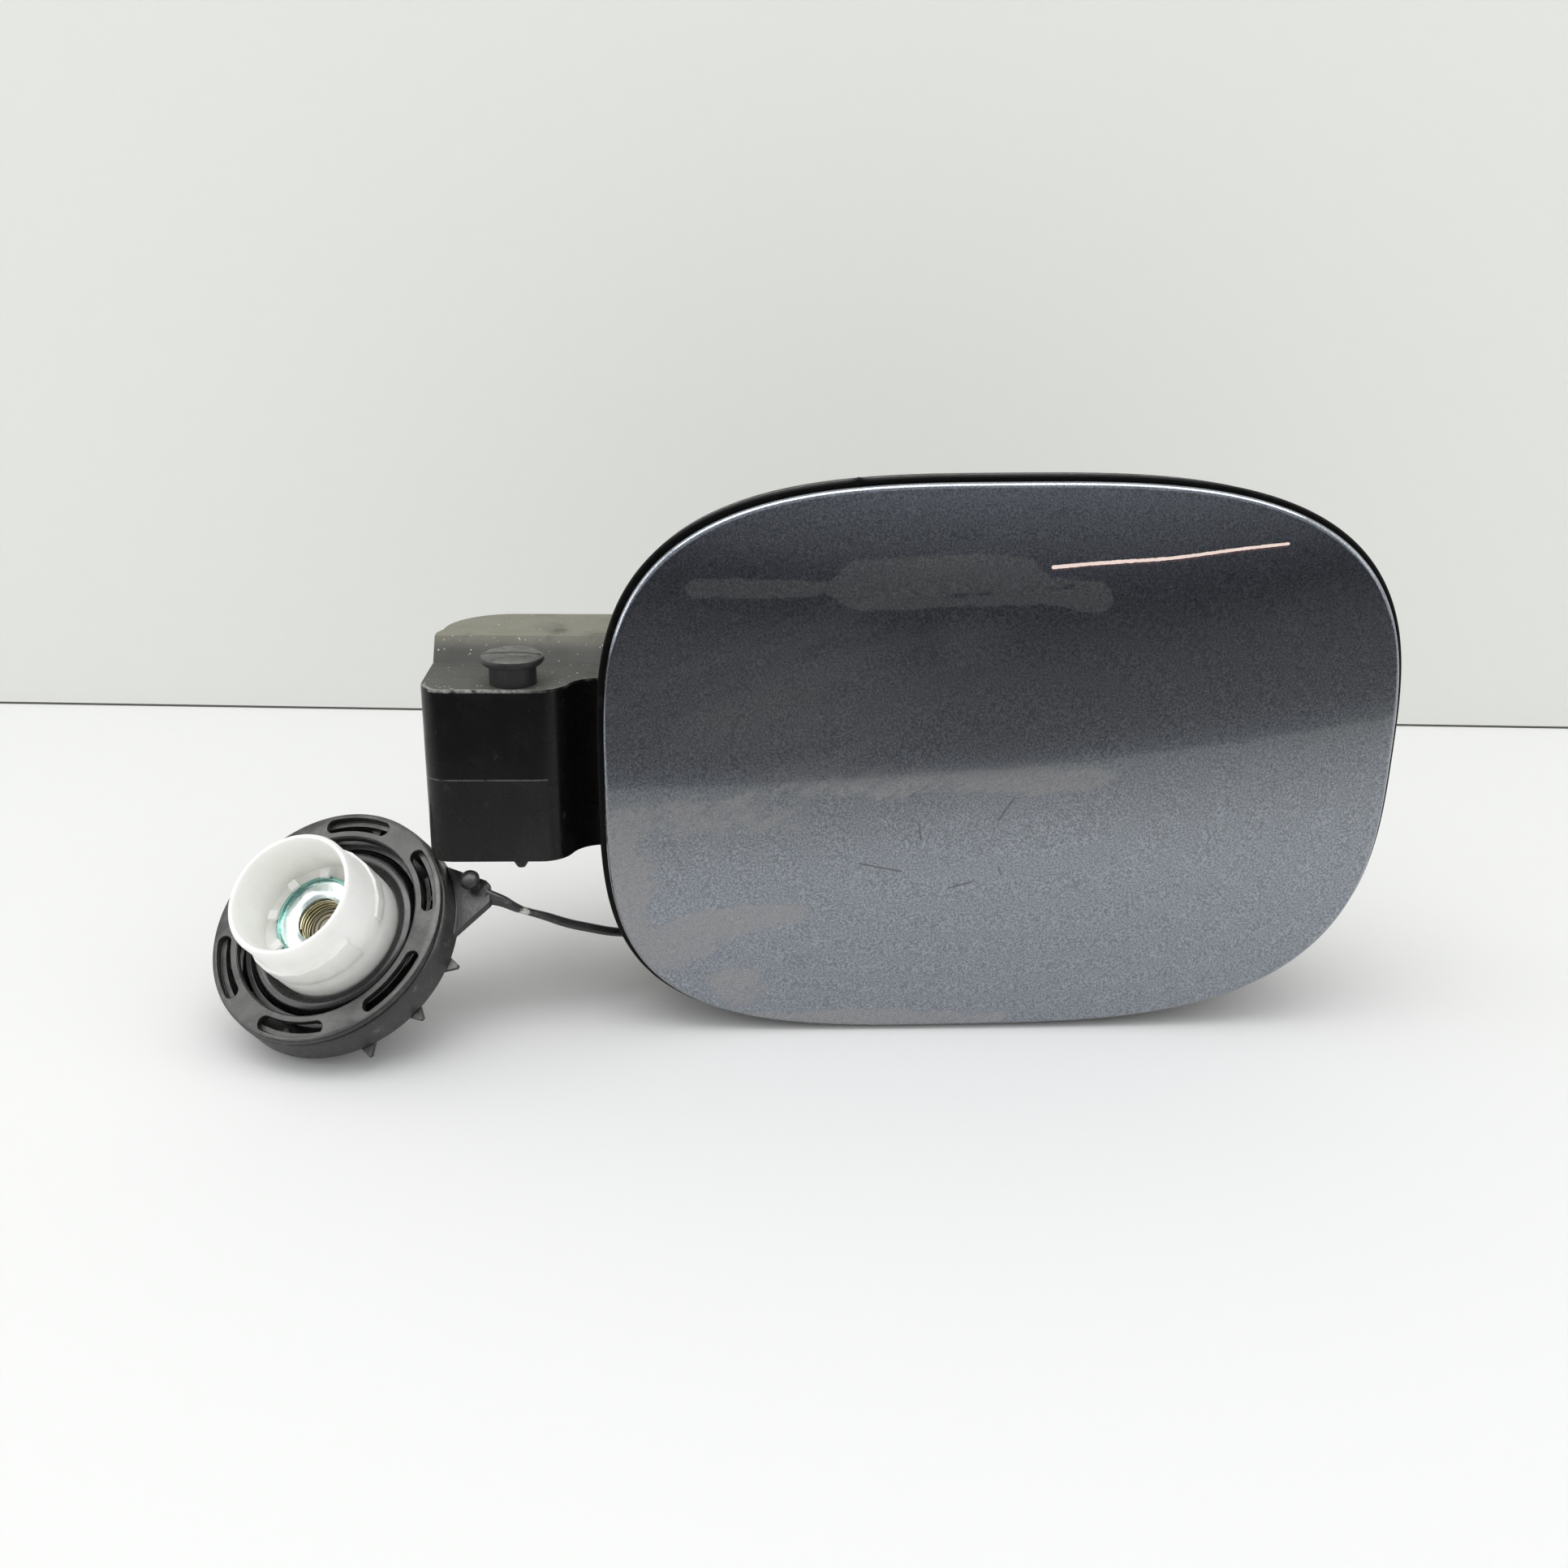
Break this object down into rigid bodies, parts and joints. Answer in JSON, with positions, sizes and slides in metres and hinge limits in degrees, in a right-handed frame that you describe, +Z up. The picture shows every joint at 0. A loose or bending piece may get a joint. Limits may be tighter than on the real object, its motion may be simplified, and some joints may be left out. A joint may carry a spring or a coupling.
{
  "type": "car fuel door",
  "caption": "Round-cornered painted fuel door on a gooseneck hinge, black filler bowl with hinge pocket, and a tethered bayonet fuel cap beside it.",
  "frame": {"origin": "centre of the filler neck opening, on the outer face of the bowl's back wall", "axes": "+X along the car, from the hinge pocket to the lock; +Y into the car, along the filler neck; +Z up"},
  "size_m": [0.3546, 0.1085, 0.17],
  "materials": {
    "bowl": "moulded black polyamide, scuffed and dusty",
    "lip": "soft black lip, glossy",
    "rubber": "moulded black rubber",
    "bush": "moulded black acetal",
    "pin": "moulded dark grey polyamide, dusty",
    "leaf_steel": "bright spring steel strip",
    "paint": "dark blue-grey metallic under clear coat",
    "arm": "glass-filled black polyamide",
    "cap_black": "black polyamide with a fine grain",
    "ring_black": "black polyamide, rubbed grey at the edges",
    "ratchet": "black acetal",
    "gasket": "glossy nitrile rubber",
    "plug": "milky white acetal, slightly see-through",
    "zinc": "zinc-plated pressed steel",
    "coil": "yellow-passivated spring wire",
    "valve": "natural acetal",
    "tether": "flexible dark grey plastic, scuffed pale"
  },
  "bodies": {
    "housing": {"bowl_housing": "bowl", "lip_seal": "lip", "neck_seal": "rubber", "lock_bush": "bush", "buffer_upper": "rubber", "buffer_lower": "rubber", "hinge_pin": "pin", "hinge_leaf_spring": "leaf_steel", "tether_collar": "tether", "tether_strap": "tether", "tether_eyelet": "tether"},
    "door": {"door_skin": "paint", "door_arm": "arm"},
    "cap_grip": {"cap_shell": "cap_black", "slotted_ring": "ring_black"},
    "cap_core": {"ratchet_carrier": "ratchet", "gasket": "gasket", "bayonet_plug": "plug", "spring_plate": "zinc", "valve_spring": "coil"},
    "valve": {"valve_disc": "valve", "valve_seal": "rubber"}
  },
  "joints": [
    {"name": "door_hinge", "type": "hinge", "parent": "housing", "child": "door", "pos_m": [-0.1407, -0.054, 0], "axis": [0, 0, -1], "range_deg": [0, 90]},
    {"name": "cap_turn", "type": "hinge", "parent": "housing", "child": "cap_grip", "pos_m": [-0.1981, -0.0645, -0.0472], "axis": [-0.2982, -0.6033, 0.7396], "continuous": true},
    {"name": "ratchet_play", "type": "hinge", "parent": "cap_grip", "child": "cap_core", "pos_m": [-0.1981, -0.0645, -0.0472], "axis": [-0.2982, -0.6033, 0.7396], "range_deg": [-4, 12]},
    {"name": "valve_lift", "type": "slide", "parent": "cap_core", "child": "valve", "axis": [-0.2982, -0.6033, 0.7396], "range_m": [0, 0.0015], "stiffness_N_per_m": 300, "springref_m": -0.002, "deforming": ["valve_spring"]}
  ]
}
